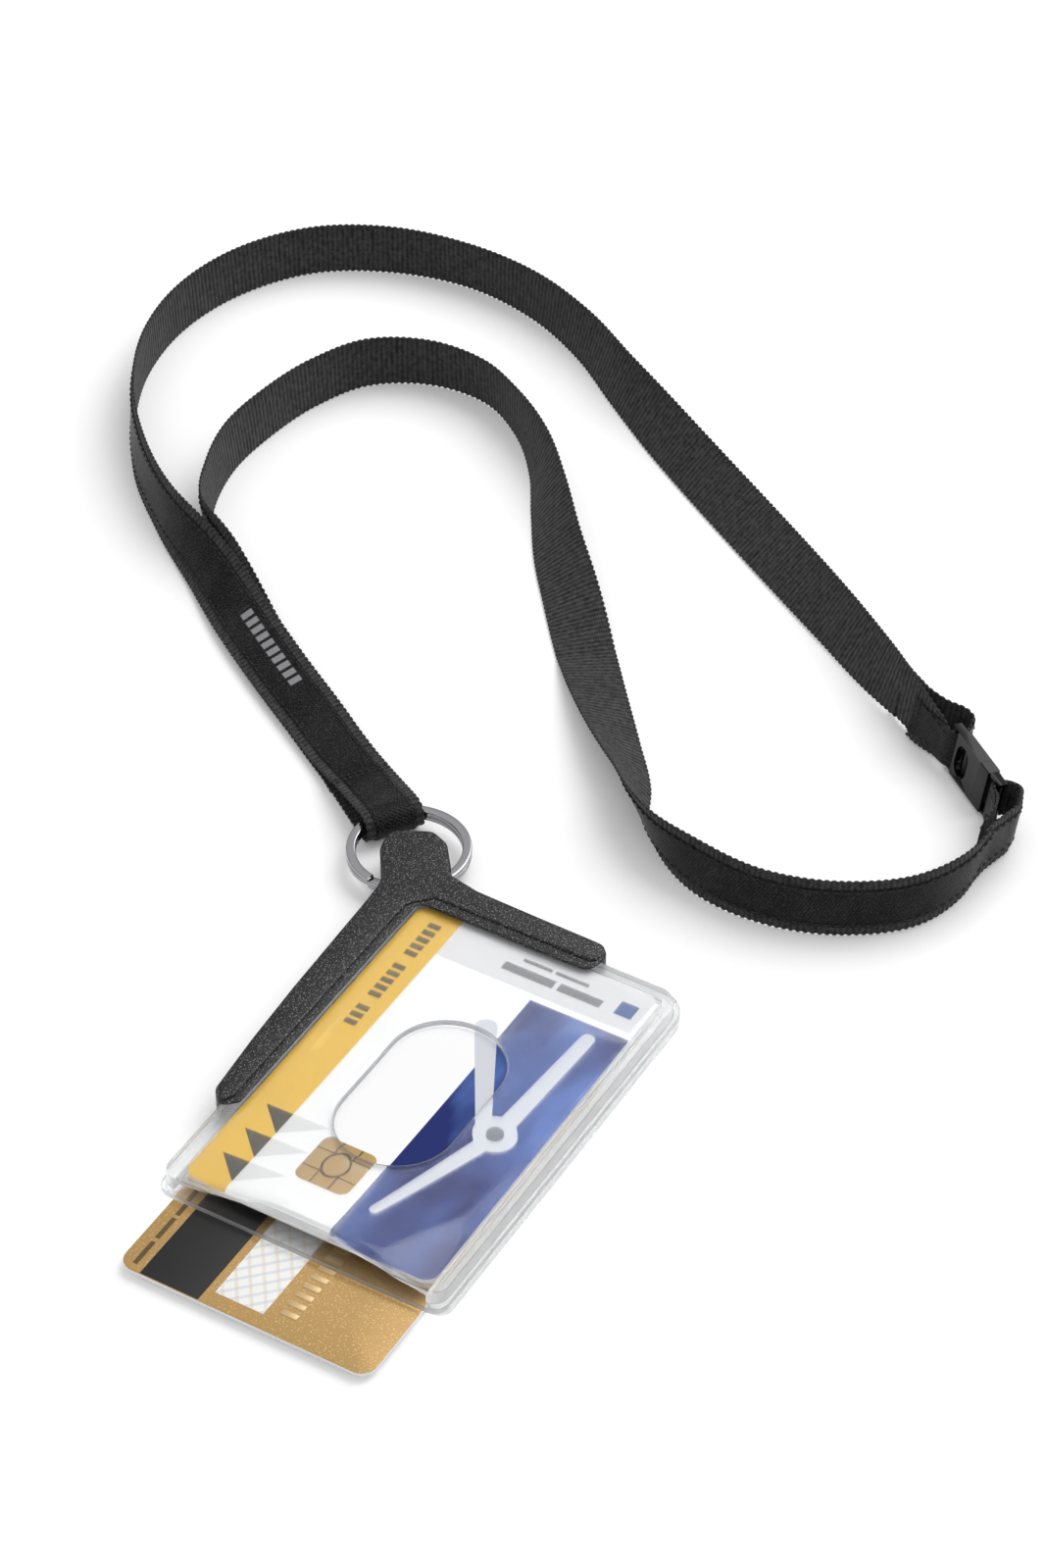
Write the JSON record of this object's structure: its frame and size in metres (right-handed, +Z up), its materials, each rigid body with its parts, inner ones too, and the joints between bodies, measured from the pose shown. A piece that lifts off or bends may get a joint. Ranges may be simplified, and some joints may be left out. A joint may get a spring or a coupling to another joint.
{
  "type": "lanyard badge holder",
  "caption": "Clear card case with sliding cards on a moulded corner yoke, hung from a split ring and a woven neck strap with a breakaway buckle",
  "frame": {"origin": "centre of the footprint of the case, cards and ring, on the surface the case lies on", "axes": "+X along the case from its open mouth to its closed end, +Y across the case towards the long arm of the yoke, +Z up from the back of the case"},
  "size_m": [0.3014, 0.2476, 0.014],
  "materials": {
    "clear_case": "clear, polished",
    "charcoal_plastic": "fine speckled grain",
    "ring_steel": "bright nickel plate",
    "card_plastic": "printed and laminated",
    "chip_gold": "gold plated",
    "card_bronze": "metallic print",
    "stripe_black": "satin",
    "panel_paper": "matt",
    "strap_weave": "ribbed weave",
    "strap_satin": "satin weave",
    "thread": "sewn",
    "buckle_black": "gloss"
  },
  "bodies": {
    "holder": {"back_cover": "clear_case", "divider": "clear_case", "front_cover": "clear_case", "yoke": "charcoal_plastic"},
    "front_card": {"front_card": "card_plastic", "chip_module": "chip_gold"},
    "rear_card": {"rear_card": "card_bronze", "magnetic_stripe": "stripe_black", "signature_panel": "panel_paper"},
    "ring": {"split_ring": "ring_steel"},
    "lanyard": {"tab_loop": "strap_weave", "tab_ribbon": "strap_satin", "tab_tack": "thread", "strap_a_web": "strap_weave", "strap_a_ribbon": "strap_satin", "strap_b_web": "strap_weave", "strap_b_ribbon": "strap_satin", "loop_a": "strap_weave", "loop_a_tack": "thread", "buckle_socket": "buckle_black"},
    "plug": {"buckle_plug": "buckle_black", "loop_b": "strap_weave", "loop_b_tack": "thread"}
  },
  "joints": [
    {"name": "front_card_slide", "type": "slide", "parent": "holder", "child": "front_card", "axis": [-1, 0, 0], "range_m": [0, 0.07]},
    {"name": "rear_card_slide", "type": "slide", "parent": "holder", "child": "rear_card", "axis": [-1, 0, 0], "range_m": [-0.0215, 0.045]},
    {"name": "ring_swing", "type": "hinge", "parent": "holder", "child": "ring", "pos_m": [0.04493, 0.02283, 0.0038], "axis": [-0.5299, 0.848, 0], "range_deg": [-45, 45]},
    {"name": "tab_swing", "type": "hinge", "parent": "ring", "child": "lanyard", "pos_m": [0.06042, 0.03695, 0.0038], "axis": [0.8241, -0.5664, 0], "range_deg": [-60, 60]},
    {"name": "buckle_release", "type": "slide", "parent": "lanyard", "child": "plug", "axis": [-0.6018, -0.7986, 0], "range_m": [0, 0.02], "deforming": ["strap_b_web", "strap_b_ribbon"]}
  ]
}
